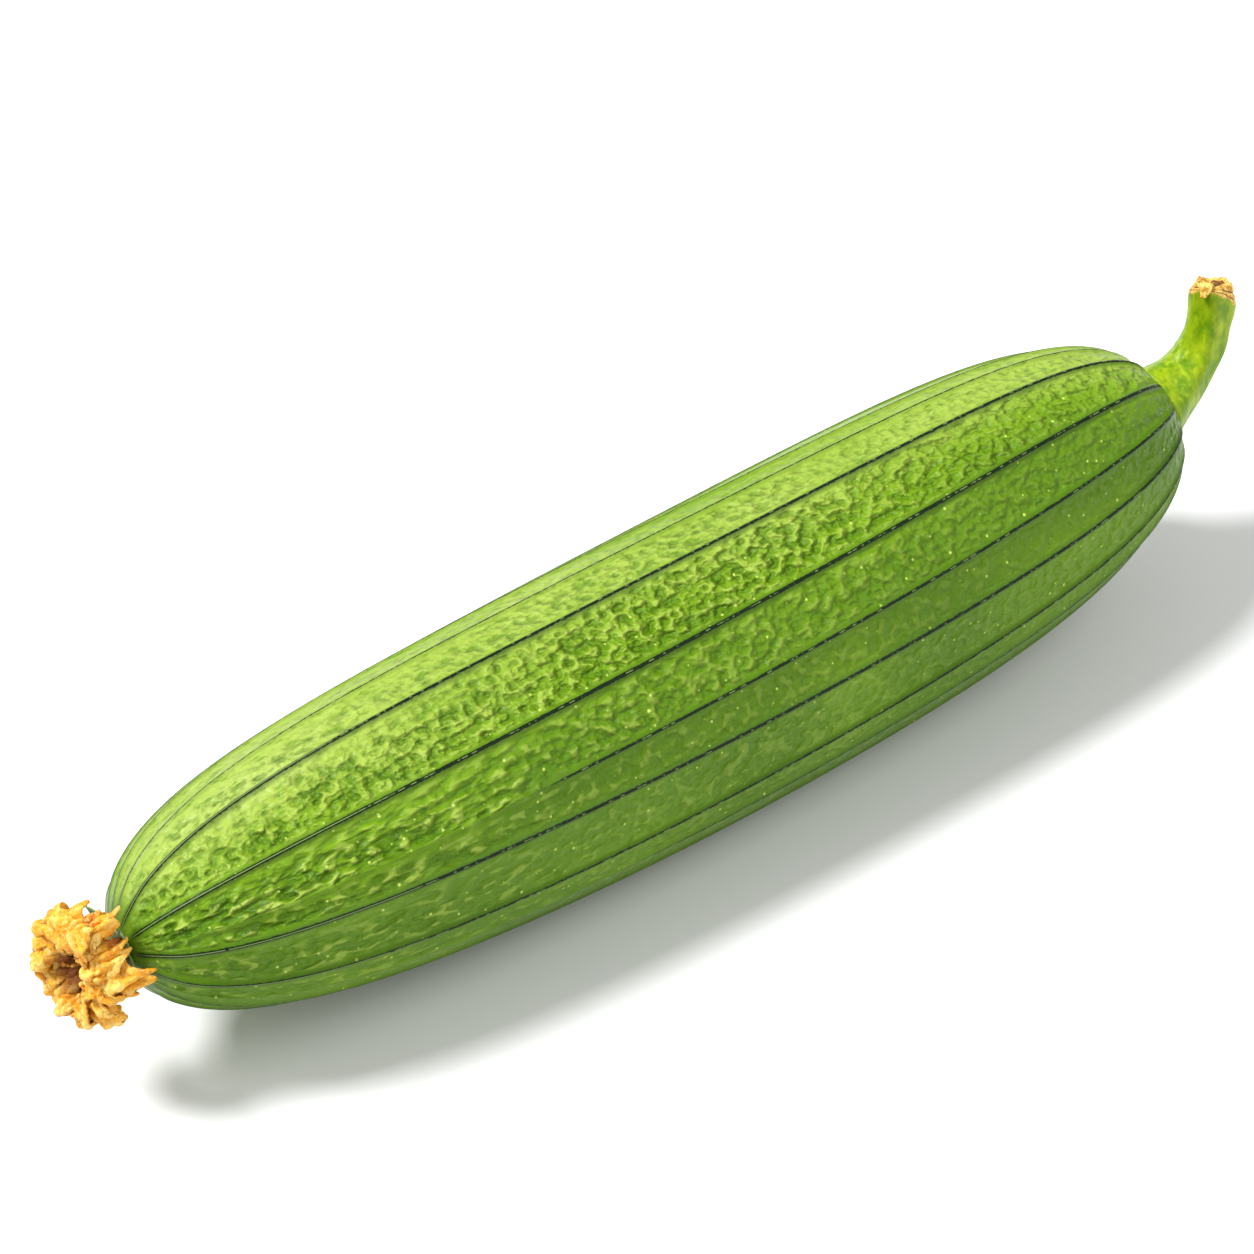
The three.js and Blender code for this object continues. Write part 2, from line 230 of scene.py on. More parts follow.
# Colours, in linear light
RIND = {
    # Belly, side, top and lit end: one green, painted darker as shade on the belly and paler as light on
    # top and at the blossom's end
    "belly": (0.085, 0.18, 0.005),
    "side": (0.155, 0.29, 0.007),
    "top": (0.30, 0.42, 0.06),
    "lit end": (0.42, 0.52, 0.15),
    "streak": (0.39, 0.51, 0.11),
    "fleck": (0.10, 0.22, 0.008),
    # Knob and knob top: painted highlights on the knobs; hollow and crease: painted shade between them
    "knob": (0.36, 0.49, 0.06),
    "knob top highlight": (0.38, 0.51, 0.08),
    "hollow": (0.065, 0.16, 0.003),
    "shaded_crease": (0.06, 0.15, 0.004),
    "dot": (0.55, 0.68, 0.13),
    "collar": (0.12, 0.22, 0.012),
    # Painted shade at a ridge's foot
    "ridge foot shade": (0.02, 0.07, 0.002),
    "ridge": (0.003, 0.012, 0.002),
    # Painted highlight on a ridge's crest
    "dash_highlight": (0.30, 0.42, 0.13),
}
STALK = {
    "green": (0.12, 0.245, 0.001),
    "yellow": (0.26, 0.375, 0.003),
    "pale fibre": (0.40, 0.51, 0.02),
    "dark fibre": (0.09, 0.20, 0.002),
    "speck": (0.55, 0.66, 0.08),
    "brown": (0.50, 0.22, 0.015),
    "tan": (0.84, 0.55, 0.13),
    "cream": (0.95, 0.76, 0.36),
    # The darkest brown is painted shade in the torn end's grooves and hollow
    "crack": (0.09, 0.025, 0.003),
}
CALYX = {
    "dark": (0.12, 0.2, 0.05),
    "pale": (0.22, 0.32, 0.12),
}
PETAL = {
    "amber": (0.80, 0.32, 0.010),
    "orange": (0.86, 0.44, 0.030),
    # Painted shade in the folds
    "fold shade": (0.45, 0.10, 0.002),
    # Painted highlight on the crests
    "crest": (0.97, 0.68, 0.17),
    "bleached": (0.96, 0.72, 0.24),
    "vein": (0.50, 0.13, 0.004),
    # The petals' own dark brown at their roots, darkened further as painted shade in the mouth
    "throat": (0.14, 0.03, 0.001),
}

rng = np.random.default_rng(7)
LATTICE = rng.uniform(-1, 1, 4096)


# Patterns
def smooth(x, low, high):
    """A smooth step from 0 at low to 1 at high, which may be the lesser."""
    t = np.clip((x - low) / (high - low), 0, 1)
    return t * t * (3 - 2 * t)


def scatter(*cell):
    """A number from -1 to 1 for each whole-numbered cell, always the same one."""
    index = sum(np.asarray(c).astype(np.int64) * step for c, step in zip(cell, (1, 57, 1511, 733)))
    return LATTICE[(index * 2654435 + (index >> 5) * 97) % len(LATTICE)]


def ripple(x, y, z=0, seed=0):
    """Smooth random waves over space, about one unit long, from -1 to 1."""
    x, y, z = np.broadcast_arrays(x, y, z)
    corner = [np.floor(c) for c in (x, y, z)]
    part = [c - low for c, low in zip((x, y, z), corner)]
    part = [t * t * (3 - 2 * t) for t in part]
    total = 0
    for step in range(8):
        bits = (step & 1, step >> 1 & 1, step >> 2 & 1)
        weight = 1
        for bit, t in zip(bits, part):
            weight = weight * (t if bit else 1 - t)
        total = total + weight * scatter(*[low + bit for low, bit in zip(corner, bits)], seed)
    return total


def cobbles(across, along, rows, seed):
    """Rounded knobs in rows, one to a unit cell: 0 in the creases between them, up to 1 on top."""
    nearest = np.full(across.shape, 9.0)
    second = np.full(across.shape, 9.0)
    size = np.zeros(across.shape)
    for i in (-1, 0, 1):
        for j in (-1, 0, 1):
            cell = (np.floor(across) + i, np.floor(along) + j)
            middle = [c + 0.5 + 0.42 * scatter(*cell, seed, k) for k, c in enumerate(cell)]
            away = np.hypot(across - middle[0], along - middle[1])
            away = np.where((cell[0] < 0) | (cell[0] >= rows), 9, away)
            second = np.minimum(second, np.maximum(away, nearest))
            size = np.where(away < nearest, 0.65 + 0.35 * scatter(*cell, seed, 2), size)
            nearest = np.minimum(nearest, away)
    return size * smooth(second - nearest, -0.05, 0.65) * (1 - 0.3 * np.clip(nearest, 0, 1))


def creases(x, y, seed):
    """Folds, sharp on their crests, from -1 to 1."""
    return 1 - 2 * np.abs(ripple(x, y, seed=seed)) ** 0.8


# Meshes
def make_mesh(name, points, faces, attributes, node):
    """A smooth mesh in millimetres about the fruit's own middle, standing for a node of the frame."""
    mesh = bpy.data.meshes.new(name)
    mesh.from_pydata(((points + HOME) * MM).tolist(), [], [list(f) for f in faces])
    mesh.shade_smooth()
    for key, values in attributes.items():
        layer = mesh.attributes.new(key, "FLOAT", "POINT")
        layer.data.foreach_set("value", np.ravel(values).astype(np.float32))
    piece = bpy.data.objects.new(name, mesh)
    bpy.context.scene.collection.objects.link(piece)
    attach(piece, "root")
    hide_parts(node)
    return piece


def ring_faces(rings, columns):
    """Faces of a closed skin over rings, after a first point and before a last one."""
    ring, column = np.meshgrid(np.arange(rings - 1), np.arange(columns), indexing="ij")
    beside = (column + 1) % columns
    here = 1 + ring * columns
    quads = np.stack([here + column, here + beside, here + columns + beside, here + columns + column], -1)
    last = 1 + rings * columns
    fans = [[0, 1 + (i + 1) % columns, 1 + i] for i in range(columns)]
    fans += [[last, last - columns + i, last - columns + (i + 1) % columns] for i in range(columns)]
    return quads.reshape(-1, 4).tolist() + fans


def with_ends(values, first=0, last=0):
    """A value for each point of a closed skin over rings, its first and last points among them."""
    return np.concatenate([[first], np.ravel(values), [last]])


def sheet_points(surface, thickness):
    """Both faces of a sheet of some thickness round a grid of points, and its faces."""
    rows, columns = surface.shape[:2]
    normal = np.cross(np.gradient(surface, axis=1), np.gradient(surface, axis=0))
    normal /= np.maximum(np.linalg.norm(normal, axis=-1, keepdims=True), 1e-9)
    half = thickness / 2 * normal
    points = np.concatenate([(surface + half).reshape(-1, 3), (surface - half).reshape(-1, 3)])
    grid = np.arange(rows * columns).reshape(rows, columns)
    a, b, c, d = grid[:-1, :-1], grid[:-1, 1:], grid[1:, 1:], grid[1:, :-1]
    front = np.stack([a, b, c, d], -1).reshape(-1, 4)
    behind = rows * columns
    rim = np.concatenate([grid[0, :-1], grid[:-1, -1], grid[-1, :0:-1], grid[:0:-1, 0]])
    after = np.roll(rim, -1)
    wall = np.stack([after, rim, rim + behind, after + behind], -1)
    return points, np.concatenate([front, front[:, ::-1] + behind, wall])


def bezier(points, share):
    """The point and the direction of travel at each share of a cubic curve."""
    p = [np.array(point, float) for point in points]
    t = np.asarray(share, float)[..., None]
    point = (1 - t) ** 3 * p[0] + 3 * t * (1 - t) ** 2 * p[1] + 3 * t**2 * (1 - t) * p[2] + t**3 * p[3]
    travel = (1 - t) ** 2 * (p[1] - p[0]) + 2 * t * (1 - t) * (p[2] - p[1]) + t**2 * (p[3] - p[2])
    return point, travel / np.linalg.norm(travel, axis=-1, keepdims=True)


# The fruit's axis and section, by station: -1 at the blossom's tip and 1 at the stalk's
def axis_at(station):
    station = np.asarray(station, float)
    rise = BOW * station**2 + BOW_LEAN * station**3
    return np.stack([HALF_LENGTH * station, 0 * station, rise], -1)


def axis_direction(station):
    station = np.asarray(station, float)
    rise = 2 * BOW * station + 3 * BOW_LEAN * station**2
    direction = np.stack([HALF_LENGTH + 0 * station, 0 * station, rise], -1)
    return direction / np.linalg.norm(direction, axis=-1, keepdims=True)


def fullness(station):
    return sum(share * station**power for power, share in enumerate(FULLNESS))


def round_radius(station):
    return RADIUS * np.sqrt(np.maximum(0, 1 - station**2)) * fullness(station)


def tip_drop(radius, end):
    """How far the skin lies below a tip, at a radius round the axis."""
    return HALF_LENGTH * radius**2 / (2 * (RADIUS * fullness(end)) ** 2)


def dimple_depth(radius):
    return DIMPLE_DEPTH * np.exp(-((radius / DIMPLE_RADIUS) ** 2))


# The frame's fruit says where the blossom's tip is: it is its furthest point that way
FRUIT_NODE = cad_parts["fruit"]
TIP = min((v.co for v in FRUIT_NODE.data.vertices), key=lambda co: co.x)
HOME = np.array(TIP) / MM - axis_at(-1.0)
FLOOR = -HOME[2]


# Fruit
def even_stations():
    """Stations of the fruit's rings, evenly spaced along its skin."""
    fine = np.sin(np.linspace(-math.pi / 2, math.pi / 2, 4001))
    steps = np.hypot(np.diff(HALF_LENGTH * fine), np.diff(round_radius(fine)))
    travel = np.concatenate([[0], np.cumsum(steps)])
    rings = int(travel[-1] / ROW_PITCH)
    return np.interp(np.arange(1, rings) * travel[-1] / rings, travel, fine)


def strip_width(ridge):
    """How wide the skin is from a ridge to the next where the fruit is thickest."""
    degrees = RIDGES[(ridge + 1) % len(RIDGES)][0] - RIDGES[ridge][0]
    return math.radians(degrees) % (2 * math.pi) * RADIUS


def between_ridges(ridge, station):
    """The angles of a ridge and of the next, and the angle that half a ridge takes up."""
    after = (ridge + 1) % len(RIDGES)
    turn = 0 if after else 360
    start = np.radians(RIDGES[ridge][0] + RIDGES[ridge][1] * station)
    end = np.radians(RIDGES[after][0] + RIDGES[after][1] * station + turn)
    foot = np.minimum(RIDGE_HALF_WIDTH / np.maximum(round_radius(station), 1), (end - start) / 4)
    return start, end, foot


def column_angles(ridge, station):
    """The angles of the mesh's columns from a ridge's crest to just before the next one's."""
    start, end, foot = between_ridges(ridge, station)
    skins = max(2, round(strip_width(ridge) / COLUMN_PITCH))
    columns = [start + foot * share for share in RIDGE_COLUMNS]
    columns += [start + foot + (end - start - 2 * foot) * (k + 1) / (skins + 1) for k in range(skins)]
    columns += [end - foot * share for share in RIDGE_COLUMNS[:0:-1]]
    return columns


def ridge_strength(ridge, station):
    """How strongly a ridge's line shows."""
    dark, ends = RIDGES[ridge % len(RIDGES)][2:]
    return dark * smooth(station, ends - 0.001, ends + 0.2) if ends > -1 else dark + 0 * station


def knob_pattern(ridge, share, station, streaky):
    """Knobs between two ridges, which run together into streaks where the skin is streaky."""
    along = HALF_LENGTH * station
    rows = max(2, round(strip_width(ridge) / KNOB_WIDTH))
    across = share * rows
    sway = 0.5 * ripple(along / 8, across / 2, seed=ridge)
    knobs = cobbles(across + sway, along / KNOB_LENGTH + 0.45 * across + sway, rows, ridge)
    streaks = 1.2 * creases(along / STREAK_LENGTH + 0.2 * across, across * 1.1, ridge + 40) - 0.3
    knobs = knobs + (streaks - knobs) * streaky
    knobs = knobs * (0.65 + 0.35 * ripple(along / 12, across / 2.5, seed=ridge + 60))
    return knobs - KNOB_MIDDLE


def skin_column(ridge, angle, station):
    """One column of the skin along the fruit: where it runs, and what its material reads."""
    start, end, foot = between_ridges(ridge, station)
    radius = round_radius(station)
    near = np.minimum(angle - start, end - angle)
    edge = near * radius
    share = (angle - start) / (end - start)
    line = np.where(
        angle - start < end - angle, ridge_strength(ridge, station), ridge_strength(ridge + 1, station)
    )
    streaky = STREAKED[ridge] * smooth(station, 0, -0.7)
    knobs = knob_pattern(ridge, share, station, streaky)
    tall = np.interp(station, KNOB_STATIONS, KNOBS[ridge])
    calm = smooth(station, -0.1, -0.6) * smooth(share, 0.55, 0.15)
    beside = 1 - smooth(line, 0, 0.4) * smooth(edge, 2.4, 0.8)
    bare = beside * smooth(radius, 4, 16) * (1 - 0.6 * calm)
    rough = np.clip(tall / 0.9, 0.15, 1) * bare

    flat = radius * np.cos((end - start) / 2) / np.cos(angle - (start + end) / 2)
    crest = np.clip(1 - (near / foot) ** 2, 0, 1) ** 1.5
    fade = 1 - smooth(np.abs(station), *RIDGE_FADE)
    swell = SWELL_HEIGHT * ripple(HALF_LENGTH * station / SWELL_LENGTH, angle * 2.2, seed=50)
    skin = radius * (1 - FLATNESS) + flat * FLATNESS
    skin = skin + RIDGE_HEIGHT * crest * fade * (0.4 + 0.6 * line)
    return {
        "radius": skin + (tall * knobs + swell) * bare,
        "angle": angle,
        "edge": edge,
        "line": line * smooth(1 - np.abs(station), 0.002, 0.012),
        "relief": knobs * rough,
        "rough": rough,
        "streaky": streaky,
    }


def skin_tone_and_light(angle, station):
    """How pale the skin is: its own random patches, with painted light on top and at the blossom's end,
    and painted shade on the belly and at the stalk's end.
    """
    turn = (np.degrees(angle) + 180) % 360 - 180
    patches = TONE_PATCHES * ripple(HALF_LENGTH * station / 30, turn / 25, seed=70)
    lit = smooth(station, -0.35, -0.8) * smooth(station, -1, -0.9)
    lit = LIT_END * lit * smooth(turn, 48, 34) * smooth(turn, -90, -30)
    shaded = SHADED_END * smooth(station, -0.6, 0.2)
    return np.clip(np.interp(turn, *zip(*PAINTED_SHADING)) + patches + lit - shaded, 0, 1.5)


def make_fruit():
    station = even_stations()
    columns = [
        skin_column(ridge, angle, station)
        for ridge in range(len(RIDGES))
        for angle in column_angles(ridge, station)
    ]
    skin = {key: np.array([column[key] for column in columns]).T for key in columns[0]}
    radius, angle = skin.pop("radius"), skin.pop("angle")
    direction = axis_direction(station)
    up = np.stack([-direction[:, 2], 0 * station, direction[:, 0]], -1)
    sink = np.where(station > 0, dimple_depth(round_radius(station)), 0)
    middle = axis_at(station) - direction * sink[:, None]
    rings = (
        middle[:, None]
        + FRONT * (radius * np.sin(angle))[..., None]
        + up[:, None] * (radius * np.cos(angle))[..., None]
    )
    rings[..., 2] = np.maximum(rings[..., 2], FLOOR)
    ends = [axis_at(-1.0), axis_at(1.0) - DIMPLE_DEPTH * axis_direction(1.0)]
    points = np.concatenate([ends[:1], rings.reshape(-1, 3), ends[1:]])
    attributes = {key: with_ends(values) for key, values in skin.items()}
    attributes["tone_and_light"] = with_ends(skin_tone_and_light(angle, station[:, None]))
    attributes["station"] = with_ends(np.broadcast_to(station[:, None], angle.shape), -1, 1)
    faces = ring_faces(len(station), len(columns))
    piece = make_mesh("gourd_fruit", points, faces, attributes, "fruit")
    piece.data.materials.append(rind_material())


# Stalk
def stalk_radius(along, angle):
    """The stalk's radius: ribbed, flared at its foot, with low swellings and warts."""
    ribs = STALK_RIB_HEIGHT * np.cos(STALK_RIBS * angle + 2 * along)
    warts = 0.25 * smooth(ripple(along * 22, 4 * np.cos(angle), 4 * np.sin(angle), 9), 0.7, 0.95)
    swell = 0.25 * ripple(along * 5, 1.5 * np.cos(angle), 1.5 * np.sin(angle), 11)
    flare = STALK_FLARE * np.exp(-4 * along) + 0.7 * smooth(along, 0.75, 1)
    return STALK_RADIUS + flare + ribs + (warts + swell) * smooth(along, 0, 0.1)


def stalk_seat():
    return axis_at(1.0) - DIMPLE_DEPTH * axis_direction(1.0)


def stalk_point(along, radius, angle, lift):
    """A point by its share of the stalk's curve, its place round it, and its lift along it."""
    seat, outward = stalk_seat(), axis_direction(1.0)
    middle, tangent = bezier([(seat[0] + x, 0, seat[2] + z) for x, z in STALK_CURVE], along)
    tangent = outward + (tangent - outward) * smooth(along, 0, 0.3)
    tangent /= np.linalg.norm(tangent)
    across = np.array([-tangent[2], 0, tangent[0]])
    return (
        middle
        + np.multiply.outer(radius * np.cos(angle), across)
        + np.multiply.outer(radius * np.sin(angle), FRONT)
        + np.multiply.outer(lift, tangent)
    )


def skin_rise(angle):
    """How far the green skin reaches past the stalk's end, round the stalk."""
    lean = SKIN_RISE[1] * np.cos(angle - math.radians(SKIN_TURN))
    return SKIN_RISE[0] + lean + SKIN_RISE[2] * np.cos(2 * (angle - math.radians(TEAR_TURN)))


def rim_rise(angle):
    """How far the dried rim stands past the stalk's end, round the stalk."""
    degrees = np.degrees(angle) % 360
    rise = RIM_RISE[0] + RIM_RISE[1] * np.cos(angle - math.radians(TEAR_TURN))
    for middle, height, width in RIM_PEAKS:
        away = (degrees - middle + 180) % 360 - 180
        rise = rise + height * np.exp(-((away / width) ** 2))
    return rise


def stalk_rings():
    """Rings from the stalk's foot into its torn end, with how dry each point is and how dark it is painted
    as shade.
    """
    angle = 2 * math.pi * np.arange(STALK_SIDES) / STALK_SIDES
    rings, dry, recess_shade = [], [], []

    def add_ring(along, radius, lift, dryness=0.0, darkness=0.0):
        rings.append(stalk_point(along, radius, angle, lift))
        dry.append(np.broadcast_to(dryness, STALK_SIDES))
        recess_shade.append(np.full(STALK_SIDES, darkness))

    foot = stalk_radius(0.0, angle)
    for share in (0.5, 0.8, 1):
        radius = foot * share
        add_ring(0.0, radius, DIMPLE_DEPTH - dimple_depth(radius) - tip_drop(radius, 1) - FOOT_SUNK)
    skin, rim = skin_rise(angle), rim_rise(angle)
    jag = 0.5 * ripple(3 * np.cos(angle), 3 * np.sin(angle), seed=5)
    for step in range(1, STALK_STEPS + 1):
        along = step / STALK_STEPS
        dryness = smooth(along * STALK_LENGTH + jag, STALK_LENGTH - 1, STALK_LENGTH)
        add_ring(along, stalk_radius(along, angle), skin * smooth(along, 0.6, 1), dryness)
    end = stalk_radius(1.0, angle)
    for share, inset, darkness in LIP_RINGS:
        wander = share + 0.05 * ripple(2 * np.cos(angle), 2 * np.sin(angle), seed=12) * (1 - share)
        lift = skin + (rim - skin) * wander + 0.6 * jag * share
        add_ring(1.0, end - RIM_INSET * (1.2 * share - 0.2 * share**2) - inset, lift, 1.0, darkness)
    for inset, drop, darkness in HOLLOW_RINGS:
        crack = 0.4 * ripple(4 * np.cos(angle), 4 * np.sin(angle), inset, seed=6)
        radius = np.maximum(end - RIM_INSET - inset, 0.5)
        add_ring(1.0, radius, rim + 0.6 * jag - drop + crack, 1.0, darkness)
    return np.array(rings), np.array(dry), np.array(recess_shade)


def flap_surface():
    """The flap of dried skin over the rim."""
    across, down = np.meshgrid(np.linspace(-1, 1, 13), np.linspace(0, 1, 21))
    shares, radii, heights = zip(*FLAP_COURSE)
    width = 1.9 - 1.3 * down**1.5
    radius = np.interp(down, shares, radii) + 0.2 * ripple(across * 1.6, down * 3, seed=8)
    height = np.interp(down, shares, heights) + 0.3 * ripple(across * 2, down * 2, seed=9)
    turn = math.radians(FLAP_TURN) + across * width / STALK_RADIUS
    return stalk_point(1.0, radius, turn, height)


def make_stalk():
    rings, dry, recess_shade = stalk_rings()
    middle = stalk_point(1.0, 0, 0, RIM_RISE[0] - HOLLOW_DEPTH)
    points = np.concatenate([[stalk_seat()], rings.reshape(-1, 3), [middle]])
    flap, flap_faces = sheet_points(flap_surface(), FLAP_THICKNESS)
    faces = ring_faces(len(rings), STALK_SIDES) + (flap_faces + len(points)).tolist()
    attributes = {
        "dry": np.concatenate([with_ends(dry, 0, 1), np.ones(len(flap))]),
        "recess_shade": np.concatenate([with_ends(recess_shade, 0, 1), np.zeros(len(flap))]),
    }
    piece = make_mesh("gourd_stalk", np.concatenate([points, flap]), faces, attributes, "stem")
    piece.data.materials.append(stalk_material())


# Blossom and calyx, by radius and turn round the axis out of the tip, and height along it
def blossom_point(radius, turn, height):
    out = -axis_direction(-1.0)
    up = np.array([out[2], 0, -out[0]])
    aside = radius * np.cos(turn) - BLOSSOM_DROOP * height
    return (
        axis_at(-1.0)
        + np.multiply.outer(height, out)
        + np.multiply.outer(aside, up)
        + np.multiply.outer(radius * np.sin(turn), FRONT)
    )


def calyx_height(radius):
    """The height of the calyx's middle between its two faces."""
    inner = CALYX_RADIUS * 0.8
    out = np.maximum(0, (radius - inner) / (SEPAL_REACH - inner))
    drop = tip_drop(np.minimum(radius, CALYX_RADIUS), -1)
    return GAP + SEPAL_THICKNESS / 2 - drop + SEPAL_RISE * out**1.5


def make_calyx():
    side_number = np.arange(SEPAL_SIDES * SEPALS)
    turn = math.radians(CALYX_TURN) + 2 * math.pi * side_number / len(side_number)
    from_tip = np.abs(side_number % SEPAL_SIDES - SEPAL_SIDES / 2) / (SEPAL_SIDES / 2)
    reach = CALYX_RADIUS + (SEPAL_REACH - CALYX_RADIUS) * np.maximum(0, 1 - from_tip / SEPAL_SPREAD) ** 0.9
    steps = range(1, CALYX_STEPS + 1)
    rings = []
    for face, shares in ((1, steps), (-1, reversed(steps))):
        for step in shares:
            radius = reach * step / CALYX_STEPS
            slope = (calyx_height(radius + 0.1) - calyx_height(radius)) / 0.1
            thinning = 1 - 0.6 * (step / CALYX_STEPS) ** 3
            half = face * SEPAL_THICKNESS / 2 / np.hypot(1, slope) * thinning
            rings.append(blossom_point(radius - half * slope, turn, calyx_height(radius) + half))
    ends = [blossom_point(0, 0, calyx_height(0) + face * SEPAL_THICKNESS / 2) for face in (1, -1)]
    points = np.concatenate([ends[:1], np.concatenate(rings), ends[1:]])
    faces = ring_faces(len(rings), len(side_number))
    piece = make_mesh("gourd_calyx", points, faces, {}, "calyx")
    piece.data.materials.append(calyx_material())


def lobe_surface(lobe, number):
    """A limp sheet that rises out of the middle, bends over at the mouth and flops back, crumpled.

    With it come its relief, below 0 in its folds, and how far along the petal each point is.
    """
    turn, bend_radius, bend_height, tip_radius, tip_height, width = lobe
    across, share = np.meshgrid(np.linspace(-1, 1, LOBE_COLUMNS), np.linspace(0, 1, LOBE_ROWS))
    phase, seed = 1.9 * number, 30 + 5 * number
    rim = smooth(np.maximum(np.abs(across), share), 0.4, 1)
    round_rim = np.arctan2(across, share - 0.35)
    along = share * (0.74 + 0.21 * np.sqrt(1 - 0.97 * across**2) + 0.05 * np.sin(9 * across + phase))
    path = (
        (2.5, 2.5),
        (bend_radius - 3.5, bend_height),
        (tip_radius + 1.5, bend_height + 2),
        (tip_radius - 0.5, tip_height),
    )
    middle, tangent = bezier(path, along)
    sideways = across * width * np.sin(math.pi * (0.1 + 0.66 * along)) ** 0.8
    travel = PETAL_LENGTH * along

    narrow = np.sin(8 * across - 0.4 * travel + 2.3 * phase)
    folds = np.sin(4.6 * across + 0.25 * travel + phase) + 0.5 * narrow
    dents = np.sin(0.75 * sideways + phase) * np.sin(0.6 * travel + 1.7 * phase)
    ruffle = np.sin(7 * round_rim + 2 * phase) + 0.7 * np.sin(13 * round_rim + 0.7 * phase)
    crumple = 0.7 * creases(sideways / 3.6, travel / 3.6, seed)
    crumple = crumple - 0.45 * creases(sideways / 1.8, travel / 2, seed + 1)
    fine = -0.2 * creases(sideways / 0.95, travel / 1.2, seed + 2)
    grow = smooth(along, 0, 0.45)
    lift = grow * (0.5 * folds + 0.7 * dents + crumple + fine) + 0.55 * rim * ruffle
    sway = 1.1 * grow * (1 - 0.5 * rim)
    shift = sway * ripple(sideways / 3, travel / 3, seed=seed + 3)
    aside = sideways + sway * ripple(sideways / 3, travel / 3, seed=seed + 4)

    radius = middle[..., 0] - tangent[..., 1] * lift + tangent[..., 0] * shift
    radius = np.maximum(radius, 1.5)
    height = middle[..., 1] + tangent[..., 0] * lift + tangent[..., 1] * shift
    height = height - 0.05 * sideways**2 * along
    lowest = GAP + PETAL_THICKNESS - tip_drop(radius, -1)
    around = math.radians(turn) + aside / np.maximum(radius, 5)
    surface = blossom_point(radius, around, np.maximum(height, lowest))
    return surface, crumple + 2 * fine + 0.6 * dents, along


def make_blossom():
    points, faces, relief, reach = [], [], [], []
    start = 0
    for number, lobe in enumerate(LOBES):
        surface, crumple, along = lobe_surface(lobe, number)
        sheet, sheet_faces = sheet_points(surface, PETAL_THICKNESS)
        points.append(sheet)
        faces += (sheet_faces + start).tolist()
        relief += [crumple.ravel(), -crumple.ravel()]
        reach += [along.ravel()] * 2
        start += len(sheet)
    attributes = {"relief": np.concatenate(relief), "reach": np.concatenate(reach)}
    piece = make_mesh("gourd_blossom", np.concatenate(points), faces, attributes, "dried_blossom")
    piece.data.materials.append(petal_material())


# Shader nodes
def new_material(name):
    material = bpy.data.materials.new(name)
    material.use_nodes = True
    tree = material.node_tree
    return material, tree, tree.nodes["Principled BSDF"]


def add(tree, kind, inputs=None, **settings):
    """Adds a shader node. Its inputs are values or the sockets that feed them."""
    node = tree.nodes.new("ShaderNode" + kind)
    for key, value in settings.items():
        setattr(node, key, value)
    for key, value in (inputs or {}).items():
        if isinstance(value, bpy.types.NodeSocket):
            tree.links.new(value, node.inputs[key])
        else:
            node.inputs[key].default_value = value
    return node


def math_node(tree, operation, *values):
    return add(tree, "Math", dict(enumerate(values)), operation=operation).outputs[0]


def times(tree, first, second):
    return math_node(tree, "MULTIPLY", first, second)


def step_node(tree, value, low, high, start=0.0, end=1.0):
    """A smooth step of a value from start to end."""
    inputs = {"Value": value, "From Min": low, "From Max": high, "To Min": start, "To Max": end}
    return add(tree, "MapRange", inputs, interpolation_type="SMOOTHSTEP").outputs["Result"]


def masked(tree, mask, *step):
    """A smooth step where a mask is 1."""
    return times(tree, step_node(tree, *step), mask)


def attribute(tree, name):
    return add(tree, "Attribute", attribute_name=name).outputs["Fac"]


def mix(tree, factor, first, second):
    """From a first value or colour to a second one by a factor."""
    node = add(tree, "Mix", data_type="RGBA")
    for socket, value in zip((node.inputs[0], node.inputs[6], node.inputs[7]), (factor, first, second)):
        if isinstance(value, bpy.types.NodeSocket):
            tree.links.new(value, socket)
        elif isinstance(value, tuple):
            socket.default_value = (*value, 1)
        else:
            socket.default_value = value
    return node.outputs[2]


def stretched(tree, x=1.0, y=1.0, z=1.0):
    """The object's own coordinates in millimetres, stretched."""
    place = add(tree, "TexCoord").outputs["Object"]
    return add(tree, "Mapping", {"Vector": place, "Scale": (x / MM, y / MM, z / MM)}).outputs["Vector"]


def noise(tree, vector, scale, detail=2.0, roughness=0.5):
    inputs = {"Vector": vector, "Scale": scale, "Detail": detail, "Roughness": roughness}
    return add(tree, "TexNoise", inputs).outputs["Fac"]


def bump(tree, shader, heights, distance):
    """Bump from several heights, each with a strength, over a distance in millimetres."""
    normal = None
    for height, strength in heights:
        inputs = {"Height": height, "Strength": strength, "Distance": distance * MM}
        if normal is not None:
            inputs["Normal"] = normal
        normal = add(tree, "Bump", inputs).outputs["Normal"]
    tree.links.new(normal, shader.inputs["Normal"])


# Rind
def skin_green(tree, tone_and_light, flecks):
    """Green from the dark belly to the pale top, painted as shade and light, with the skin's own streaks
    and flecks.
    """
    patches = noise(tree, stretched(tree), 0.07, 2)
    streaks = noise(tree, stretched(tree, 0.14), 0.7, 3, 0.6)
    shade = math_node(tree, "ADD", tone_and_light, math_node(tree, "MULTIPLY_ADD", patches, 0.16, -0.08))
    # Belly, side, top and lit end are one green, painted darker as shade and paler as light
    skin = mix(tree, step_node(tree, shade, 0, 0.45), RIND["belly"], RIND["side"])
    skin = mix(tree, step_node(tree, shade, 0.35, 1.0), skin, RIND["top"])
    skin = mix(tree, step_node(tree, shade, 0.95, 1.4), skin, RIND["lit end"])
    skin = mix(tree, masked(tree, tone_and_light, streaks, 0.54, 0.7, 0, 0.5), skin, RIND["streak"])
    return mix(tree, step_node(tree, flecks, 0.48, 0.3, 0, 0.75), skin, RIND["fleck"])


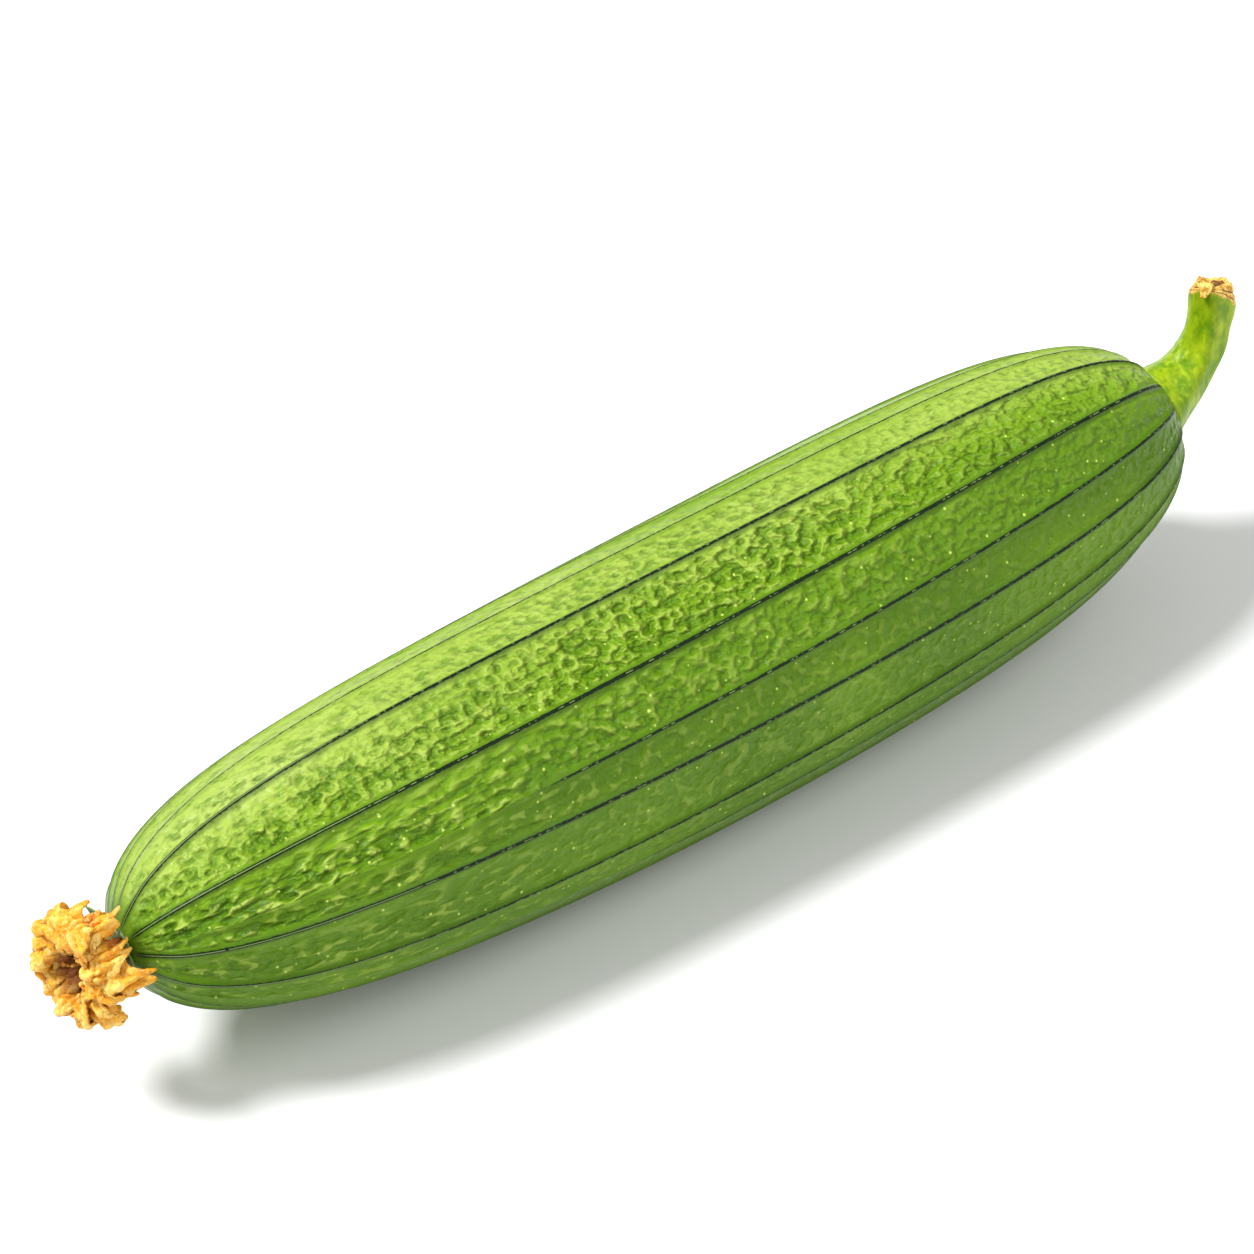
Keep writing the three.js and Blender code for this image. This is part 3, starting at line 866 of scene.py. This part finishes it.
def skin_lumps(tree, streaky):
    """Lumps about 0 that are drawn out where the skin is streaky."""
    round_lumps = noise(tree, stretched(tree, 0.85), 0.42, 1.5, 0.35)
    drawn_out = noise(tree, stretched(tree, 0.4), 0.5, 1.5, 0.35)
    return math_node(tree, "SUBTRACT", mix(tree, streaky, round_lumps, drawn_out), 0.5)


def with_knobs(tree, skin, lumps, relief, seen, streaky):
    """Knobs get painted highlights on top and painted shade in the hollows between."""
    hollow = math_node(tree, "MULTIPLY_ADD", relief, 0.15, lumps)
    tops = times(tree, seen, step_node(tree, streaky, 0, 0.8, 0.5, 0.8))
    skin = mix(tree, masked(tree, seen, relief, 0, 0.4, 0, 0.25), skin, RIND["knob"])
    skin = mix(tree, masked(tree, tops, lumps, 0.02, 0.14), skin, RIND["knob top highlight"])
    dim = masked(tree, step_node(tree, seen, 0.05, 0.8, 0.2, 1), hollow, -0.02, -0.15, 0, 0.65)
    return mix(tree, dim, skin, RIND["hollow"])


def short_creases(tree, seen, station):
    """Short broken creases between the knobs near the blossom, as a mask for painted shade and a little
    depth.
    """
    bend = noise(tree, stretched(tree, 0.9), 0.22, 2, 0.5)
    bend = math_node(tree, "ABSOLUTE", math_node(tree, "SUBTRACT", bend, 0.49))
    broken = noise(tree, stretched(tree), 0.2, 2, 0.5)
    shaded_crease = masked(tree, step_node(tree, broken, 0.46, 0.6), bend, 0.08, 0.01)
    return times(tree, shaded_crease, masked(tree, seen, station, -0.3, -0.6))


def with_dots(tree, skin, tone_and_light):
    """Pale dots are scattered over all but the palest skin."""
    cells = add(tree, "TexVoronoi", {"Vector": stretched(tree), "Scale": 0.4})
    draw = add(tree, "SeparateColor", {"Color": cells.outputs["Color"]})
    size = math_node(tree, "MULTIPLY_ADD", draw.outputs["Green"], 0.1, 0.06)
    dot = step_node(tree, math_node(tree, "SUBTRACT", cells.outputs["Distance"], size), 0.06, -0.05)
    dot = masked(tree, dot, draw.outputs["Red"], 0.4, 0.6)
    return mix(tree, masked(tree, dot, tone_and_light, 0.75, 0.5, 0, 0.8), skin, RIND["dot"])


def with_ridge_lines(tree, skin, edge, line, station, fine):
    """A ridge is a dark line, with painted shade soft at its foot and a painted highlight on its crest, in
    dashes away from the blossom.
    """
    away = math_node(tree, "ADD", edge, math_node(tree, "MULTIPLY_ADD", fine, 0.5, -0.25))
    # Painted shade at the ridge's foot
    skin = mix(tree, masked(tree, line, away, 1.8, 0.4, 0, 0.6), skin, RIND["ridge foot shade"])
    offset = math_node(tree, "SUBTRACT", away, math_node(tree, "MULTIPLY_ADD", line, 0.36, 0.1))
    drawn = step_node(tree, line, 0.05, 0.45)
    skin = mix(tree, masked(tree, drawn, offset, 0.14, -0.12), skin, RIND["ridge"])
    # Painted highlight on the crest, in dashes that run together near the blossom
    dashes = noise(tree, stretched(tree, 0.6, 0.08, 0.08), 1, 1, 0.5)
    whole = step_node(tree, station, -0.5, -0.8, 0, 0.35)
    dash_highlight = step_node(tree, math_node(tree, "ADD", dashes, whole), 0.52, 0.66)
    crest = times(tree, masked(tree, dash_highlight, edge, 0.2, 0.02), times(tree, drawn, 0.6))
    return mix(tree, crest, skin, RIND["dash_highlight"])


def rind_material():
    material, tree, shader = new_material("rind")
    edge, line, relief, rough = (attribute(tree, key) for key in ("edge", "line", "relief", "rough"))
    tone_and_light, station, streaky = (attribute(tree, key) for key in ("tone_and_light", "station", "streaky"))
    fine = noise(tree, stretched(tree), 1.1, 3, 0.5)
    flecks = noise(tree, stretched(tree, 0.3), 1.0, 3, 0.6)
    # How strongly the knobs' painted light and shade show
    seen = masked(tree, rough, station, 0.1, 0.6, 1, 0.4)
    lumps = skin_lumps(tree, streaky)
    shaded_crease = short_creases(tree, seen, station)
    skin = with_knobs(tree, skin_green(tree, tone_and_light, flecks), lumps, relief, seen, streaky)
    # Painted shade in the creases
    skin = mix(tree, times(tree, shaded_crease, 0.9), skin, RIND["shaded_crease"])
    skin = with_dots(tree, skin, tone_and_light)
    skin = mix(tree, step_node(tree, station, -0.965, -0.99), skin, RIND["collar"])
    skin = with_ridge_lines(tree, skin, edge, line, station, fine)
    tree.links.new(skin, shader.inputs["Base Color"])
    tree.links.new(step_node(tree, fine, 0.3, 0.7, 0.42, 0.32), shader.inputs["Roughness"])
    shader.inputs["Specular IOR Level"].default_value = 0.14
    swell = times(tree, lumps, math_node(tree, "ADD", rough, 0.05))
    swell = math_node(tree, "MULTIPLY_ADD", shaded_crease, -0.05, swell)
    bump(tree, shader, ((swell, 1), (fine, 0.05), (flecks, 0.06)), 5.5)
    return material


# Other materials
def stalk_material():
    material, tree, shader = new_material("stalk")
    dry, recess_shade = attribute(tree, "dry"), attribute(tree, "recess_shade")
    fibres = noise(tree, stretched(tree, 1, 1, 0.25), 0.7, 3, 0.55)
    patches = noise(tree, stretched(tree, 1, 1, 0.6), 0.26, 3, 0.6)
    fine = noise(tree, stretched(tree), 1.4, 3, 0.6)
    grain = noise(tree, stretched(tree, 1.3, 1.3, 0.8), 0.9, 3, 0.6)
    fresh = mix(tree, step_node(tree, patches, 0.36, 0.62), STALK["green"], STALK["yellow"])
    fresh = mix(tree, step_node(tree, fibres, 0.48, 0.7, 0, 0.6), fresh, STALK["pale fibre"])
    fresh = mix(tree, step_node(tree, fibres, 0.42, 0.28, 0, 0.5), fresh, STALK["dark fibre"])
    fresh = mix(tree, step_node(tree, fine, 0.68, 0.76, 0, 0.7), fresh, STALK["speck"])
    dried = mix(tree, step_node(tree, grain, 0.38, 0.56), STALK["brown"], STALK["tan"])
    dried = mix(tree, step_node(tree, grain, 0.56, 0.68, 0, 0.7), dried, STALK["cream"])
    # Painted shade in the grooves and the hollow of the torn end
    dried = mix(tree, step_node(tree, recess_shade, 0.2, 0.8, 0, 0.95), dried, STALK["crack"])
    tree.links.new(mix(tree, dry, fresh, dried), shader.inputs["Base Color"])
    shader.inputs["Roughness"].default_value = 0.42
    shader.inputs["Specular IOR Level"].default_value = 0.2
    bump(tree, shader, ((fibres, 0.2), (fine, 0.12)), 0.5)
    return material


def calyx_material():
    material, tree, shader = new_material("calyx")
    patches = noise(tree, stretched(tree), 0.5, 3, 0.6)
    tree.links.new(mix(tree, patches, CALYX["dark"], CALYX["pale"]), shader.inputs["Base Color"])
    shader.inputs["Roughness"].default_value = 0.6
    bump(tree, shader, ((patches, 0.4),), 0.4)
    return material


def petal_material():
    material, tree, shader = new_material("petals")
    relief, reach = attribute(tree, "relief"), attribute(tree, "reach")
    place = stretched(tree)
    patches = noise(tree, place, 0.25, 3, 0.6)
    fine = noise(tree, place, 1.1, 4, 0.6)
    veins = math_node(tree, "SUBTRACT", noise(tree, place, 0.4, 2, 0.5), 0.5)
    veins = math_node(tree, "ABSOLUTE", veins)
    colour = mix(tree, step_node(tree, patches, 0.35, 0.65), PETAL["amber"], PETAL["orange"])
    # Painted shade in the folds and painted highlights on the crests
    colour = mix(tree, step_node(tree, relief, -0.1, -1.2, 0, 0.85), colour, PETAL["fold shade"])
    colour = mix(tree, step_node(tree, relief, 0.2, 1.1, 0, 0.85), colour, PETAL["crest"])
    colour = mix(tree, step_node(tree, fine, 0.5, 0.66, 0, 0.55), colour, PETAL["bleached"])
    colour = mix(tree, step_node(tree, veins, 0.05, 0.005, 0, 0.3), colour, PETAL["vein"])
    # Dark brown at the petals' roots: their own colour, and painted shade in the mouth
    colour = mix(tree, step_node(tree, reach, 0.5, 0.25, 0, 0.95), colour, PETAL["throat"])
    tree.links.new(colour, shader.inputs["Base Color"])
    shader.inputs["Roughness"].default_value = 0.45
    shader.inputs["Specular IOR Level"].default_value = 0.25
    bump(tree, shader, ((veins, 0.9), (fine, 0.5)), 1.2)
    return material


# Camera at the photograph's angle. The fruit's middle is at a pixel of the photograph
CAMERA_DISTANCE = 1400
CAMERA_AZIMUTH = -38.6
CAMERA_ELEVATION = 40
SENSOR_WIDTH = 36
PHOTO_SIZE = 1254
FOCAL_PIXELS = 5646
AXIS_MIDDLE_PIXEL = (668.6, 682.0)


def make_camera():
    azimuth, elevation = math.radians(CAMERA_AZIMUTH), math.radians(CAMERA_ELEVATION)
    level = math.cos(elevation)
    back = Vector((math.sin(azimuth) * level, -math.cos(azimuth) * level, math.sin(elevation)))
    right = Vector((math.cos(azimuth), math.sin(azimuth), 0))
    up = back.cross(right)
    pixel = CAMERA_DISTANCE / FOCAL_PIXELS
    aside, down = ((value - PHOTO_SIZE / 2) * pixel for value in AXIS_MIDDLE_PIXEL)
    aim = Vector(HOME) - right * aside + up * down
    data = bpy.data.cameras.new("camera")
    data.sensor_width = SENSOR_WIDTH
    data.lens = SENSOR_WIDTH * FOCAL_PIXELS / PHOTO_SIZE
    camera = bpy.data.objects.new("camera", data)
    camera.location = (aim + back * CAMERA_DISTANCE) * MM
    camera.rotation_euler = (-back).to_track_quat("-Z", "Y").to_euler()
    bpy.context.scene.collection.objects.link(camera)
    bpy.context.scene.camera = camera


# Pale floor in soft light from the upper left. Each sun: name, strength, spread in degrees, direction
FLOOR_SIZE = 8
FLOOR_COLOUR = (0.8, 0.8, 0.8, 1)
SUNS = (
    ("key", 4.4, 18, (-0.45, 0.3, 0.84)),
    ("fill", 1.3, 50, (0.35, -0.6, 0.7)),
)
SKY_STRENGTH = 0.45


def make_stage():
    bpy.ops.mesh.primitive_plane_add(size=FLOOR_SIZE)
    floor = bpy.context.object
    floor.name = "floor"
    material, _, shader = new_material("floor")
    shader.inputs["Base Color"].default_value = FLOOR_COLOUR
    floor.data.materials.append(material)
    for name, strength, spread, direction in SUNS:
        sun = bpy.data.objects.new(name, bpy.data.lights.new(name, "SUN"))
        sun.data.energy = strength
        sun.data.angle = math.radians(spread)
        sun.rotation_euler = Vector(direction).to_track_quat("Z", "Y").to_euler()
        bpy.context.scene.collection.objects.link(sun)
    world = bpy.data.worlds.new("studio")
    world.use_nodes = True
    background = world.node_tree.nodes["Background"]
    background.inputs["Color"].default_value = (1, 1, 1, 1)
    background.inputs["Strength"].default_value = SKY_STRENGTH
    bpy.context.scene.world = world
    bpy.context.scene.view_settings.view_transform = "Standard"


make_fruit()
make_stalk()
make_calyx()
make_blossom()
make_stage()
make_camera()
